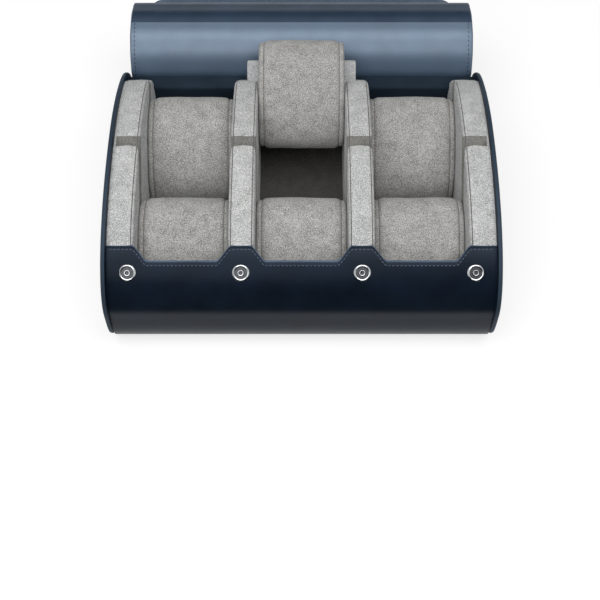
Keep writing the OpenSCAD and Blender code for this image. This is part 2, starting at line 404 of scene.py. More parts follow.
# Painted shade: the suede in the slots is darkened for the shade that falls in these narrow recesses.
slot_suede_painted_shade = suede("Shaded suede inside the slots", "#63625f", "#93928e")
lining_suede = suede("Grey suede lining", "#3c3b39", "#5f5d5b")
seam_suede = suede("Seam of grey suede", "#656361", "#85837f")
edge_thread = thread("Slate blue thread", "#55657a")
flap_thread = thread("Navy thread", "#0b121b")
snap_nickel = nickel("Polished nickel", "#b4b7ba")
# Painted shade: darker, rougher nickel for the stud's groove and post bore, where shade falls.
painted_shade_nickel = nickel("Nickel darkened with painted shade in the groove", "#515356", smoothest=0.3)


# ---- Stitches ----

def stitch_row(name, places, length, radius, material):
    """One short rounded stitch at each (centre, direction, normal), as one mesh."""
    deselect_all()
    bpy.ops.mesh.primitive_uv_sphere_add(segments=8, ring_count=6, radius=1)
    model = bpy.context.object
    shape = np.array([v.co for v in model.data.vertices], float)
    faces = [list(p.vertices) for p in model.data.polygons]
    bpy.data.objects.remove(model)
    points, polygons = [], []
    for centre, direction, normal in places:
        side = np.cross(normal, direction)
        basis = np.array([np.array(direction) * length / 2, side * radius, np.array(normal) * radius])
        start = len(points)
        points.extend(((shape @ basis + np.array(centre)) * MM).tolist())
        polygons.extend([[start + i for i in face] for face in faces])
    mesh = bpy.data.meshes.new(name)
    mesh.from_pydata(points, [], polygons)
    piece = bpy.data.objects.new(name, mesh)
    bpy.context.scene.collection.objects.link(piece)
    in_edit(piece, lambda: bpy.ops.mesh.normals_make_consistent(inside=False))
    finish_with(piece, material)
    smooth(piece, 80)
    return piece


# ---- Camera, light and floor ----

# The camera looks down by CAMERA_TILT at a point CAMERA_RISE over the belly, measured across its view.
CAMERA_TILT = 55
CAMERA_AWAY = 798
CAMERA_RISE = 14.3
CAMERA_SHIFT = (-0.0025, -0.2167)
CAMERA_LENS_MM = 71.1


def set_camera():
    tilt = math.radians(CAMERA_TILT)
    back = Vector((0, -math.cos(tilt), math.sin(tilt)))
    up = Vector((0, math.sin(tilt), math.cos(tilt)))
    place = Vector((0, 0, BELLY_H)) + back * CAMERA_AWAY + up * CAMERA_RISE
    bpy.ops.object.camera_add(location=place * MM, rotation=(math.pi / 2 - tilt, 0, 0))
    camera = bpy.context.object
    camera.data.lens = CAMERA_LENS_MM
    camera.data.shift_x, camera.data.shift_y = CAMERA_SHIFT
    camera.data.clip_start = 0.01
    bpy.context.scene.camera = camera
    bpy.context.scene.view_settings.view_transform = "Standard"


def area_light(name, location, aim, size_x, size_y, watts):
    deselect_all()
    bpy.ops.object.light_add(type="AREA", location=location)
    light = bpy.context.object
    light.name = name
    light.rotation_euler = (Vector(aim) - Vector(location)).to_track_quat("-Z", "Y").to_euler()
    light.data.shape = "RECTANGLE"
    light.data.size, light.data.size_y = size_x, size_y
    light.data.energy = watts


def seen_directly(tree):
    """1 for rays that come from the camera, a mirror or glass, else 0."""
    rays = node(tree, "ShaderNodeLightPath").outputs
    total = rays["Is Camera Ray"]
    for kind in ("Is Glossy Ray", "Is Transmission Ray"):
        either = node(tree, "ShaderNodeMath", {"operation": "ADD", "use_clamp": True}, Value=total)
        tree.links.new(rays[kind], either.inputs[1])
        total = either.outputs[0]
    return total


def by_ray(tree, unseen, seen):
    """A value that is unseen for light that falls on the object and seen for the background."""
    return ranged(tree, seen_directly(tree), unseen, seen)


def black_card(name, half_width, near, far):
    """A studio card that only reflections see, between two level edges at (y, z) in metres."""
    corners = [(x, *edge) for edge in (near, far) for x in (-half_width, half_width)]
    deselect_all()
    bpy.ops.mesh.primitive_plane_add(size=2)
    card = bpy.context.object
    card.name = name
    for vertex, corner in zip(card.data.vertices, corners):
        vertex.co = corner
    dark, _, shader = new_material("Black card", Roughness=1.0, Specular_IOR_Level=0.0)
    shader.inputs["Base Color"].default_value = linear("#08090b")
    card.data.materials.append(dark)
    card.visible_camera = card.visible_diffuse = card.visible_shadow = False
    card.visible_transmission = False


# The floor lights the object as pale paper does, and is seen as a greyer one that glows to white.
WORLD_LIGHT = 0.12
FLOOR_COLOUR = 0.85
FLOOR_SHADE = 0.35
FLOOR_GLOW = 0.72


def set_studio():
    area_light("Softbox overhead", (0, -0.2, 0.98), (0, 0.02, 0.05), size_x=1.3, size_y=0.7, watts=10)
    area_light("Key softbox", (-0.3, -0.85, 0.78), (0, 0.1, 0.07), size_x=0.8, size_y=0.4, watts=2.2)
    world = bpy.data.worlds.new("Studio")
    bpy.context.scene.world = world
    world.use_nodes = True
    tree = world.node_tree
    tree.nodes["Background"].inputs["Color"].default_value = (1, 1, 1, 1)
    tree.links.new(by_ray(tree, WORLD_LIGHT, 1), tree.nodes["Background"].inputs["Strength"])
    deselect_all()
    bpy.ops.mesh.primitive_plane_add(size=12, location=(0, 0, -0.0002))
    floor = bpy.context.object
    floor.name = "Floor"
    material, tree, shader = new_material("White paper sweep", Roughness=0.9, Specular_IOR_Level=0.0)
    grey = node(tree, "ShaderNodeCombineColor")
    level = by_ray(tree, FLOOR_COLOUR, FLOOR_SHADE)
    for channel in ("Red", "Green", "Blue"):
        tree.links.new(level, grey.inputs[channel])
    tree.links.new(grey.outputs["Color"], shader.inputs["Base Color"])
    shader.inputs["Emission Color"].default_value = (1, 1, 1, 1)
    tree.links.new(by_ray(tree, 0, FLOOR_GLOW), shader.inputs["Emission Strength"])
    floor.data.materials.append(material)
    black_card("Black card on the floor", 0.8, (-1.4, 0.001), (-0.14, 0.001))
    black_card("Black card in front", 0.9, (-1.4, 0), (-1.2, 1.2))
    black_card("Black card behind", 0.9, (0.48, 1.02), (1.5, 0.4))


set_camera()
set_studio()


# ---- Walls ----

def edge_drop(x):
    """How far the front edge lies below the tab tops at x, along the wall."""
    end, tab, slope = INNER_W / 2 - END_TAB_W, CELL_STEP / 2, TAB_SLOPE_W
    corners = [(tab - TAB_TOP_W / 2 - slope, TAB_H), (tab - TAB_TOP_W / 2, 0), (tab + TAB_TOP_W / 2, 0),
               (tab + TAB_TOP_W / 2 + slope, TAB_H), (end - slope, TAB_H), (end, 0)]
    softness = 0.8
    weights = (1, 2, 3, 2, 1)
    samples = [np.interp(abs(x) + k * softness, *zip(*corners)) for k in (-2, -1, 0, 1, 2)]
    return float(np.dot(samples, weights) / sum(weights))


WALL_COLUMNS = 181
UPPER_WALL_L = 30
UPPER_STEPS = 12
LOWER_STEPS = 90
WALL_TOP_ANGLE = FRONT_TAB_ANGLE - 1.3
BELLY_ANGLES = (168, 202, 218, 268)
BELLY_SWELL = (0, 4.76, 6.8, 0)


def wall_path(out):
    """The wall's line from front to back. The outermost one bellies out low at the front."""
    angles = np.linspace(WALL_TOP_ANGLE, 360 + BACK_TOP_ANGLE, 401)
    swell = np.interp(angles, BELLY_ANGLES, BELLY_SWELL) * (out == 0)
    return Path([section_point(out + extra, angle) for extra, angle in zip(swell, angles)])


def wall_layer(name, out, inner, front_edge, back_edge, material):
    """A layer of the wall between two levels. Its front edge lies front_edge(x) from the tab tops and its
    back edge back_edge from the front one, both along the wall and both rounded."""
    outside, inside = wall_path(out), wall_path(inner)
    radius = (out - inner) / 2
    share = inside.length / outside.length
    end = back_edge - radius

    def round_over(a, b, along):
        angles = [math.pi * k / 4 for k in (1, 2, 3)]
        return [(a + b) / 2 + (a - b) / 2 * math.cos(t) + along * radius * math.sin(t) for t in angles]

    rings = []
    for x in np.linspace(-INNER_W / 2, INNER_W / 2, WALL_COLUMNS):
        start = front_edge(x) + radius
        stops = [*np.linspace(start, UPPER_WALL_L, UPPER_STEPS, endpoint=False),
                 *np.linspace(UPPER_WALL_L, end, LOWER_STEPS + 1)]
        down = [outside.at(s) for s in stops]
        up = [inside.at(s * share) for s in stops[::-1]]
        ring = (down + round_over(down[-1], up[0], outside.along(end)) +
                up + round_over(up[-1], down[0], -outside.along(start)))
        rings.append([(x, *p) for p in ring])
    layer = ring_loft(name, rings, material, edge_paint_and_highlight)
    if out == 0:
        # The front's cut edge is painted, and its lighter colour is also a painted highlight where the edge looks
        # up into the light. Its faces look up the wall, and are the high ones in front.
        up = -Vector((0, *outside.along(0)))
        paint(layer, 1, lambda centre, normal: normal.dot(up) > 0.45 and centre.y < -40 and centre.z > 50)
    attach(layer, "case")
    return layer


# Lengths down from the back wall's top, and how the lining lies under the facing and below the front edge.
FACING_L = 26
FACING_BEVEL = 8
FACING_LAP = 2
LINING_SHORT = 0.8


def make_facing():
    """The wrap's leather turned in over the back wall: a bevel from the flap down to the wall's inner side,
    then flat down to the lining."""
    # Corners as (level over the shell's outline, length past the wall's top), from under the flap inwards.
    corners = [(1.3, 0.6), (-WALL_T - 0.5, 1 - FACING_BEVEL), (-WALL_T - 0.6, -FACING_BEVEL),
               (-WALL_T - 0.6, -FACING_L), (-WRAP_T - 0.1, -FACING_L), (-WRAP_T - 0.1, -FACING_BEVEL - 2),
               (-0.1, -FACING_BEVEL - 2), (1.1, -1.5)]
    start, wall_top = 360 - 40, 360 + BACK_TOP_ANGLE
    past_top = 4
    ring = []
    for (level, past), (next_level, next_past) in zip(corners, corners[1:] + corners[:1]):
        for t in np.linspace(0, 1, 7)[:-1]:
            at_level = level + (next_level - level) * t
            path = section_path(at_level, start, wall_top + past_top, 120)
            top = section_path(at_level, start, wall_top, 120).length
            ring.append(path.at(top + past + (next_past - past) * t))
    columns = np.linspace(-INNER_W / 2, INNER_W / 2, 13)
    facing = ring_loft("turned_in_facing", [[(x, *p) for p in ring] for x in columns], dull_leather)
    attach(facing, "case")


def make_walls():
    """The leather wrap and its board as one layer, and the lining inside it."""
    back_edge = wall_path(0).length - FACING_BEVEL
    wrap = wall_layer("leather_wrap", 0, -WRAP_T, edge_drop, back_edge, navy_leather)
    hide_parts("shell_leather", "shell_board")
    back_edge = wall_path(-WRAP_T).length - FACING_L + FACING_LAP
    lining = wall_layer("lining_skin", -WRAP_T, -WALL_T, lambda x: edge_drop(x) + LINING_SHORT, back_edge,
                        lining_suede)
    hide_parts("suede_lining")


STITCH_SINK = 0.05


def make_edge_stitches():
    """The seam that follows the front wall's scalloped edge."""
    wall = section_path(0, WALL_TOP_ANGLE, 200)
    inset, pitch, end_gap = 2.4, 2.5, 1.5
    xs = np.linspace(-INNER_W / 2 + end_gap, INNER_W / 2 - end_gap, 1600)
    seam = Path([(x, edge_drop(x) + inset) for x in xs])
    places = []
    for s in np.arange(pitch / 2, seam.length, pitch):
        x, drop = seam.at(s)
        x_step, drop_step = seam.at(s + 0.5) - seam.at(s)
        down = wall.along(drop)
        direction = np.array([x_step, *(drop_step * down)])
        normal = np.array([0, down[1], -down[0]])
        places.append((np.array([x, *wall.at(drop)]) + normal * STITCH_SINK,
                       direction / np.linalg.norm(direction), normal))
    row = stitch_row("front_edge_stitches", places, length=1.7, radius=0.2, material=edge_thread)
    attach(row, "case")


def make_end_panels():
    """Leather-covered boards, D-shaped, with rounded rims and a slightly flatter back top."""
    rim = 1.1

    def outline(angle, inset):
        flatter = np.interp(angle, (0, 15, 50, 75), (0, 1.5, 1.5, 0))
        return section_point(FLAP_OUT + PANEL_RIM - flatter - inset, angle)

    profile = [(0, rim), (rim * 0.3, rim * 0.3), (rim, 0), (PANEL_T - rim, 0),
               (PANEL_T - rim * 0.3, rim * 0.3), (PANEL_T, rim)]
    for side, name in SIDES:
        rings = [[(side * (INNER_W / 2 + depth), *outline(angle, inset))
                  for angle in np.arange(0, 360, 2)] for depth, inset in profile]
        panel = ring_loft("panel_" + name, rings, navy_leather, dull_leather)
        paint(panel, 1, lambda centre, normal: abs(normal.x) < 0.6)
        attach(panel, "case")
        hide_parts("end_panel_" + name)


make_walls()
make_facing()
make_edge_stitches()
make_end_panels()


# ---- Partitions ----

SLOPE = np.array([math.cos(SLOT_SLOPE), math.sin(SLOT_SLOPE)])
ACROSS_SLOPE = np.array([-SLOPE[1], SLOPE[0]])
SEATS = {"front": np.array([-FRONT_SEAT, SEAT_Z]), "back": np.array([BACK_SEAT, SEAT_Z])}
# (depth, inset) from a padded edge. The line dips at its seam, which lies from SEAM_FROM to SEAM_TO.
PADDED_EDGE = [(0, 2.6), (0.25, 1.7), (0.8, 0.9), (1.4, 0.55), (1.7, 1.0), (2.0, 0.45), (2.8, 0.35)]
SEAM_FROM, SEAM_TO = 1.3, 2.1
PARTITION_SUEDES = (partition_suede, slot_suede_painted_shade, seam_suede)


def partition_top(angle, lower=0):
    """The partitions' padded top: proud of the shell's outline at the back and below it at the front."""
    return section_point(np.interp(angle, (80, FRONT_TAB_ANGLE), (0.35, -0.9)) - lower, angle)


def meeting_angle(seat, offset, lower, low, high):
    """Angle between low and high at which the line at offset across a seat's slope meets the top."""
    def beyond(angle):
        return float((partition_top(angle, lower) - seat) @ ACROSS_SLOPE) - offset

    for _ in range(30):
        middle = (low + high) / 2
        if (beyond(low) > 0) == (beyond(middle) > 0):
            low = middle
        else:
            high = middle
    return (low + high) / 2


def partition_ring(x, inset, slots):
    """Side outline of a partition at x, shrunk by inset, with its two slots cut in if slots is set."""
    half = SLOT_T / 2 + inset
    stepped = inset + PARTITION_STEP
    foot = SLOPE * (-WING_L / 2 - 0.3 - inset)
    points = []

    def top_run(start, end, lower, count):
        points.extend(partition_top(angle, lower) for angle in np.linspace(start, end, count + 1))

    def slot(seat, mouth_in, mouth_out):
        foot_in, foot_out = seat + foot + ACROSS_SLOPE * half, seat + foot - ACROSS_SLOPE * half
        if not slots:
            foot_in = foot_out = (mouth_in + mouth_out) / 2
        points.extend(mouth_in + (foot_in - mouth_in) * k / 8 for k in range(9))
        points.extend(foot_out + (mouth_out - foot_out) * k / 8 for k in range(9))

    front_in = meeting_angle(SEATS["front"], half, inset, 60, 120)
    front_out = meeting_angle(SEATS["front"], -half, inset, 60, 120)
    back_in = meeting_angle(SEATS["back"], half, inset, 20, 60)
    back_out = meeting_angle(SEATS["back"], -half, stepped, 10, 60)
    front = FRONT_TAB_ANGLE - 1 - inset / 1.4
    top_run(front, front_in, inset, 40)
    slot(SEATS["front"], partition_top(front_in, inset), partition_top(front_out, inset))
    top_run(front_out, back_in, inset, 44)
    slot(SEATS["back"], partition_top(back_in, inset), partition_top(back_out, stepped))
    top_run(back_out, BACK_TOP_ANGLE + 1, stepped, 8)
    level = -WALL_T - SOFT_GAP - inset - 0.4
    points.extend(section_point(level, angle) for angle in np.linspace(BACK_TOP_ANGLE, front - 360, 91))
    return [(x, *p) for p in points]


def partition_rings(x0, x1, left_padded=True, right_padded=True):
    """Cross-sections from x0 to x1. Padded edges are rounded, with a seam beside them."""
    steps = [(x0 + dx, inset) for dx, inset in PADDED_EDGE] if left_padded else [(x0, 0.35)]
    middle, quarter = (x0 + x1) / 2, (x1 - x0) / 5
    steps += [(middle + k * quarter, 0.1 + 0.15 * abs(k)) for k in (-1, 0, 1)]
    steps += [(x1 - dx, inset) for dx, inset in PADDED_EDGE[::-1]] if right_padded else [(x1, 0.35)]
    return [partition_ring(x, inset, True) for x, inset in steps]


def in_slot(centre, normal):
    """Whether a face lies on the walls or the foot of a slot."""
    place, way = np.array(centre)[1:], np.array(normal)[1:]
    depth = 1.6
    inside = np.linalg.norm([abs(place[0]) / (CASE_D / 2 - depth), (place[1] - BELLY_H) / (ARCH_H - depth)])
    for seat in SEATS.values():
        along, across = (place - seat) @ SLOPE, (place - seat) @ ACROSS_SLOPE
        near = abs(across) < SLOT_T / 2 + 3 and along > -WING_L / 2 - 4
        if near and (inside < 1 or abs(way @ ACROSS_SLOPE) > 0.8):
            return place[1] > BELLY_H / 2
    return False


def paint_partition(piece, edges):
    """Painted shade: darker suede on the walls and foot of the slots, where shade falls in these narrow recesses,
    and seam lines beside the padded edges.
    """
    paint(piece, 1, in_slot)
    paint(piece, 2, lambda centre, normal: any(SEAM_FROM < abs(centre.x - edge) < SEAM_TO for edge in edges))


def finish_partition(piece, node_name):
    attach(piece, "case")
    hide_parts(node_name)


def make_dividers():
    """The two partitions between the cushions, padded on both sides."""
    for side, name in SIDES:
        middle = side * CELL_STEP / 2
        edges = middle - PARTITION_W / 2, middle + PARTITION_W / 2
        divider = ring_loft("padded_divider_" + name, partition_rings(*edges), *PARTITION_SUEDES)
        paint_partition(divider, edges)
        finish_partition(divider, "divider_" + name)


def make_end_liners():
    """The partitions at the end panels: a thin skin without slots under a body padded on one side."""
    for side, name in SIDES:
        outer, skin, inner = (side * (INNER_W / 2 - depth) for depth in (0, SLOT_SKIN, PARTITION_W))
        rings = partition_rings(*sorted((skin, inner)), left_padded=side > 0, right_padded=side < 0)
        body = ring_loft("padded_end_liner_" + name, rings, *PARTITION_SUEDES)
        paint_partition(body, [inner])
        rings = [partition_ring(x, 0.3, False) for x in sorted((outer, skin))]
        backing = ring_loft("end_liner_skin_" + name, rings, partition_suede)
        finish_partition(join(body, backing), "end_liner_" + name)


make_dividers()
make_end_liners()


# ---- Cushions on their core boards ----

SEAM_IN = 3.6
PILLOW_POWER = 2.15
# The cloth is blown up at PILLOW_SCALE times its size, because cloth settings suit large pieces.
PILLOW_SCALE = 10
PILLOW_SWELL = 1.6
PILLOW_PRESSURE = 4
SWELL_FRAMES = 20


def pillow_ring(offset, inset):
    """Cross-section of the pillow at offset along its width, in (width, slope, across) directions."""
    a, b = CUSHION_L / 2 - inset, CUSHION_T / 2 - inset
    count = 96
    angles = [2 * math.pi * k / count for k in range(count)]
    power = 2 / PILLOW_POWER
    return [(offset, a * signed_pow(math.cos(t), power), b * signed_pow(math.sin(t), power)) for t in angles]


def swell(piece, held):
    """Blows the cloth of a piece up as its filling does, apart from the points that held(point) picks. The
    cloth moves PILLOW_SWELL at most."""
    before = np.array([v.co for v in piece.data.vertices])
    for vertex in piece.data.vertices:
        vertex.co = vertex.co * PILLOW_SCALE
    pins = piece.vertex_groups.new(name="sewn")
    pins.add([v.index for v in piece.data.vertices if held(before[v.index] / MM)], 1, "REPLACE")
    pick(piece)
    bpy.ops.object.modifier_add(type="CLOTH")
    cloth = piece.modifiers[-1]
    cloth.settings.vertex_group_mass = "sewn"
    cloth.settings.use_pressure = True
    cloth.settings.uniform_pressure_force = PILLOW_PRESSURE
    cloth.settings.effector_weights.gravity = 0
    cloth.point_cache.frame_end = SWELL_FRAMES
    for number in range(1, SWELL_FRAMES + 1):
        bpy.context.scene.frame_set(number)
    bpy.ops.object.modifier_apply(modifier=cloth.name)
    bpy.context.scene.frame_set(1)
    piece.vertex_groups.clear()
    reach = PILLOW_SWELL * MM
    for vertex, start in zip(piece.data.vertices, before):
        step = Vector(vertex.co) / PILLOW_SCALE - Vector(start)
        vertex.co = Vector(start) + step * (math.tanh(step.length / reach) * reach / max(step.length, 1e-9))


def make_pillow():
    """The pattern of all six cushions: a crowned middle panel, a seam and a narrow gusset at each end."""
    half = CUSHION_W / 2
    seam = half - SEAM_IN
    # (offset, inset) from the middle to an end: over the panel, down into the seam and out to the gusset.
    crown = [(seam * t, 0.7 + 0.5 * t ** 4) for t in np.linspace(0, 0.9, 10)]
    sides = [(seam - 1.4, 1.5), (seam - 0.6, 1.9), (seam - 0.15, 2.6), (seam + 0.25, 2.8), (seam + 0.6, 2.3),
             (seam + 1.4, 2.2), (half - 1.3, 2.4), (half - 0.5, 3.0), (half, 4.2)]
    half_profile = crown + sides
    profile = [(-d, inset) for d, inset in half_profile[::-1]] + half_profile[1:]
    pillow = ring_loft("pillow_pattern", [pillow_ring(*step) for step in profile], cushion_suede, seam_suede)
    paint(pillow, 1, lambda centre, normal: abs(abs(centre.x) - seam - 0.05) < 0.25)
    swell(pillow, lambda p: abs(p[0]) > seam - 0.9)
    return pillow


def seat_place(row, column):
    """Place across the case, and middle in the YZ plane, of a seat at rest."""
    middle = SEATS[row] + (SLOPE * DRAWN_OUT if (row, column) == ("back", "middle") else 0)
    return CELL_STEP * (COLUMNS.index(column) - 1), middle


LUMP_SIZE = 17
LUMP_SHARE = 0.012


def make_cushion(pattern, row, column):
    """A copy of the pattern in its place, with soft lumps that differ from one cushion to the next."""
    pick(pattern)
    bpy.ops.object.duplicate()
    cushion = bpy.context.object
    cushion.name = cushion.data.name = "pillow_" + row + "_" + column
    x, middle = seat_place(row, column)
    for vertex in cushion.data.vertices:
        across, u, v = vertex.co / MM
        spot = Vector((x + across, *(middle + (u, v)))) / LUMP_SIZE
        lump = 1 + LUMP_SHARE * noise.noise(spot) * min(1, (CUSHION_W / 2 - abs(across)) / 6)
        y, z = middle + (SLOPE * u + ACROSS_SLOPE * v) * lump
        vertex.co = Vector((x + across, y, z)) * MM
    return cushion


def make_core_board(row, column):
    """Suede-covered board whose ends stand out of the cushion as wings."""
    x, middle = seat_place(row, column)
    radius = 1.6
    corner = [(math.cos(math.pi / 2 * k / 4), math.sin(math.pi / 2 * k / 4)) for k in range(5)]
    rounded = [(0, 1.2), (0.35, 0.35), (1.2, 0)]
    rings = []
    for depth, inset in rounded + [(WING_W - depth, inset) for depth, inset in rounded[::-1]]:
        a, b = WING_L / 2 - inset, WING_T / 2 - inset * 0.8
        ring = []
        for sign_u, sign_v, order in ((1, 1, 1), (-1, 1, -1), (-1, -1, 1), (1, -1, -1)):
            for c, s in corner[::order]:
                u, v = sign_u * (a - radius + radius * c), sign_v * (b - radius + radius * s)
                ring.append((x - WING_W / 2 + depth, *(middle + SLOPE * u + ACROSS_SLOPE * v)))
        rings.append(ring)
    return ring_loft("wing_board_" + row + "_" + column, rings, wing_suede)


def make_seats():
    """The six cushions and their boards, each pair on its slide."""
    pattern = make_pillow()
    for row in ROWS:
        for column in COLUMNS:
            place = row + "_" + column
            cushion = make_cushion(pattern, row, column)
            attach(cushion, place + "_seat")
            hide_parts("cushion_" + place)
            board = make_core_board(row, column)
            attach(board, place + "_seat")
            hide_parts("core_board_" + place)
    bpy.data.objects.remove(pattern)


make_seats()


# ---- Flap ----

def flap_hinges():
    """Places at rest and closing turns, in degrees, of the flap's hinges, from the back wall on."""
    ratios = {c["joint"]: c["ratio"] for c in frame["record"]["behaviour"]["couplings"]}
    joints = [joint for joint in frame["joints"] if joint["name"] in ratios]
    joints.sort(key=lambda joint: (joint["name"] != "lid_hinge", joint["name"]))
    places = [np.array(joint["pos_m"][1:]) / MM for joint in joints]
    return places, [math.degrees(ratios[joint["name"]] * DRAWN_OUT * MM) for joint in joints]


HINGES, TURNS = flap_hinges()
STRIPS = len(HINGES)


def opened(count, point):
    """Where a point of the closed flap lies when the first count hinges are open."""
    for place, turn in list(zip(HINGES, TURNS))[:count]:
        point = turned(point, -turn, place)
    return point


def closed(count, point):
    """Where a point of the open flap goes when the first count hinges close."""
    for place, turn in list(zip(HINGES, TURNS))[:count][::-1]:
        point = turned(point, turn, place)
    return point


def nearest_row(points, y, z):
    return int(np.argmin(np.hypot(points[:, 0] - y, points[:, 1] - z)))


# Middle line of the closed flap, from the foot of its root. All lengths along the flap are read on it:
# MARKS are its hinges, CUTS the ends of the bending pieces and BENDS half the length that bends.
CLOSED_LINE = section_path(FLAP_MID, -HINGE_ANGLE, 240, 3000)
MARKS = [CLOSED_LINE.lengths[nearest_row(CLOSED_LINE.points, *closed(i, HINGES[i]))] for i in range(STRIPS)]
FLAP_END = MARKS[-1] + SNAP_STRIP_L
ROOT_END = MARKS[0] - 7.5
TAIL_START = MARKS[-1] + 9.5
SEAM_START = MARKS[0] + 1
CUTS = [ROOT_END] + [(a + b) / 2 for a, b in zip(MARKS, MARKS[1:])] + [TAIL_START]
BEND_REACH = 8.5
BEND_MARGIN = 0.5
BENDS = [min(BEND_REACH, mark - a - BEND_MARGIN, b - mark - BEND_MARGIN)
         for mark, a, b in zip(MARKS, CUTS, CUTS[1:])]
# A narrow row at each cut keeps the shading even across it.
CUT_EDGE = 0.2
# How smooth the open flap is at each hinge, from 0 to 1. The rest of the smoothness goes to the closed one.
SMOOTH_OPEN_SHARE = [0.8, 0.8, 0.75, 0.6, 0.5, 0.5, 0.5, 0.5, 0.5]


def between(a, way_a, b, way_b, t):
    """A point at t from 0 to 1 on a cubic that leaves a and reaches b along the given ways."""
    reach = np.hypot(*(b - a))
    return ((2 * t ** 3 - 3 * t ** 2 + 1) * a + (t ** 3 - 2 * t ** 2 + t) * reach * way_a
            + (3 * t ** 2 - 2 * t ** 3) * b + (t ** 3 - t ** 2) * reach * way_b)


def open_knots():
    """(length, place, way) at which the smooth open line is held: the root, the hinges and the tail."""
    tail = opened(STRIPS, CLOSED_LINE.at(TAIL_START))
    tail_way = opened(STRIPS, CLOSED_LINE.at(TAIL_START + 0.5)) - tail
    root, root_way = CLOSED_LINE.at(ROOT_END), CLOSED_LINE.along(ROOT_END)
    places = [root] + HINGES + [tail]
    knots = [(ROOT_END, root, root_way)]
    for i, mark in enumerate(MARKS):
        before, after = places[i + 1] - places[i], places[i + 2] - places[i + 1]
        long_before, long_after = np.hypot(*before), np.hypot(*after)
        way = before / long_before * long_after + after / long_after * long_before
        knots.append((mark, HINGES[i], way / np.hypot(*way)))
    return knots + [(TAIL_START, tail, tail_way / np.hypot(*tail_way))]


KNOTS = open_knots()


def flap_point(s):
    """Middle line of the open flap. It lies between a line that is smooth as it stands and the one that
    becomes smooth when the hinges close."""
    if s >= TAIL_START:
        return opened(STRIPS, CLOSED_LINE.at(s))
    if s <= ROOT_END:
        return CLOSED_LINE.at(s)
    k = sum(s > knot[0] for knot in KNOTS[1:])
    (s0, a, way_a), (s1, b, way_b) = KNOTS[k], KNOTS[k + 1]
    smooth_open = between(a, way_a, b, way_b, (s - s0) / (s1 - s0))
    i = sum(s > cut for cut in CUTS[1:-1])
    t = min(max((s - MARKS[i] + BENDS[i]) / (2 * BENDS[i]), 0), 1)
    share = t * t * (3 - 2 * t)
    smooth_closed = turned(opened(i, CLOSED_LINE.at(s)), -share * TURNS[i], HINGES[i])
    openness = np.interp(s, MARKS, SMOOTH_OPEN_SHARE)
    return smooth_open * openness + smooth_closed * (1 - openness)


def flap_way(s):
    step = flap_point(s + 0.25) - flap_point(s - 0.25)
    return step / np.hypot(*step)


def flap_ring(s, half_width=FLAP_W / 2, thickness=FLAP_T, inner_extra=0):
    """Cross-section of the flap at s: a flat loop with rounded sides."""
    middle, way = flap_point(s), flap_way(s)
    radius = thickness / 2
    out = np.array([way[1], -way[0]])
    across = np.linspace(-half_width + radius, half_width - radius, 41)
    bends = [math.pi / 2 - math.pi * k / 6 for k in range(1, 6)]

    def side(sign):
        return [(sign * (half_width - radius + radius * math.cos(t)),
                 *(middle + sign * out * radius * math.sin(t))) for t in bends]

    outer = [(x, *(middle + out * radius)) for x in across]
    inner = [(x, *(middle - out * (radius + inner_extra))) for x in across[::-1]]
    return outer + side(1) + inner + side(-1)


# The flap's inside has a satin facing from its root to FACED_TO. Its base colour is lightened, a painted sheen on
# top of the facing's own shine.
FACED_TO = 70.5
STITCH_INSET = 3.2
STITCH_PITCH = 3.0
STITCH_L = 2.0
STITCH_R = 0.24


def stitches_at(s, x, direction=(0, 1)):
    """The stitches at length s and place x, inside only where there is a facing. The direction is
    (across, along)."""
    way = flap_way(s)
    out = np.array([0, way[1], -way[0]])
    run = np.array([direction[0], direction[1] * way[0], direction[1] * way[1]])
    centre = np.array([x, *flap_point(s)])
    return [(centre + out * face * (FLAP_T / 2 + STITCH_SINK), run, out * face)
            for face in ((-1, 1) if s < FACED_TO else (1,))]


FLAP_STOPS = np.linspace(ROOT_END, FLAP_END, 300)
FLAP_LINE = np.array([flap_point(s) for s in FLAP_STOPS])
FLAP_OUTWARD = np.array([(way[1], -way[0]) for way in map(flap_way, FLAP_STOPS)])


def inside_length(centre, normal):
    """Length along the flap of a face on its inner side, or None for any other face."""
    nearest = nearest_row(FLAP_LINE, centre.y, centre.z)
    if normal.y * FLAP_OUTWARD[nearest][0] + normal.z * FLAP_OUTWARD[nearest][1] < -0.5:
        return FLAP_STOPS[nearest]
    return None


def finish_flap_piece(piece, stitches):
    """Gives a piece of the flap its leathers, side edges with edge paint and a painted highlight, and stitches."""
    finish_with(piece, flap_leather_painted_sheen, edge_paint_and_highlight, satin_leather_painted_sheen, bare_leather)
    paint(piece, 2, lambda centre, normal: inside_length(centre, normal) is not None)
    paint(piece, 3, lambda centre, normal: (inside_length(centre, normal) or 0) > FACED_TO)
    paint(piece, 1, lambda centre, normal: abs(normal.x) > 0.5 and abs(centre.x) > FLAP_W / 2 - FLAP_CORNER_R)
    if stitches:
        piece = join(piece, stitch_row(piece.name + "_stitches", stitches, STITCH_L, STITCH_R, flap_thread))
    return piece


def make_bending_pieces():
    """One piece of leather over each hinge, cut from the next in the middle of the strip."""
    for i, (start, end) in enumerate(zip(CUTS, CUTS[1:])):
        stops = [start, start + CUT_EDGE, *np.linspace(start, end, 18)[1:-1], end - CUT_EDGE, end]
        skin = ring_loft("flap_bend_%02d" % (i + 1), [flap_ring(s) for s in stops])
        first = math.ceil(max(start, SEAM_START) / STITCH_PITCH) * STITCH_PITCH
        stitches = [stitch for s in np.arange(first, end, STITCH_PITCH) for side in (-1, 1)
                    for stitch in stitches_at(s, side * (FLAP_W / 2 - STITCH_INSET))]
        skin = finish_flap_piece(skin, stitches)
        low, high = flap_point(MARKS[i] - BENDS[i]), flap_point(MARKS[i] + BENDS[i])
        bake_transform(skin)
        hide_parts("flap_strip_%02d" % (i + 1))


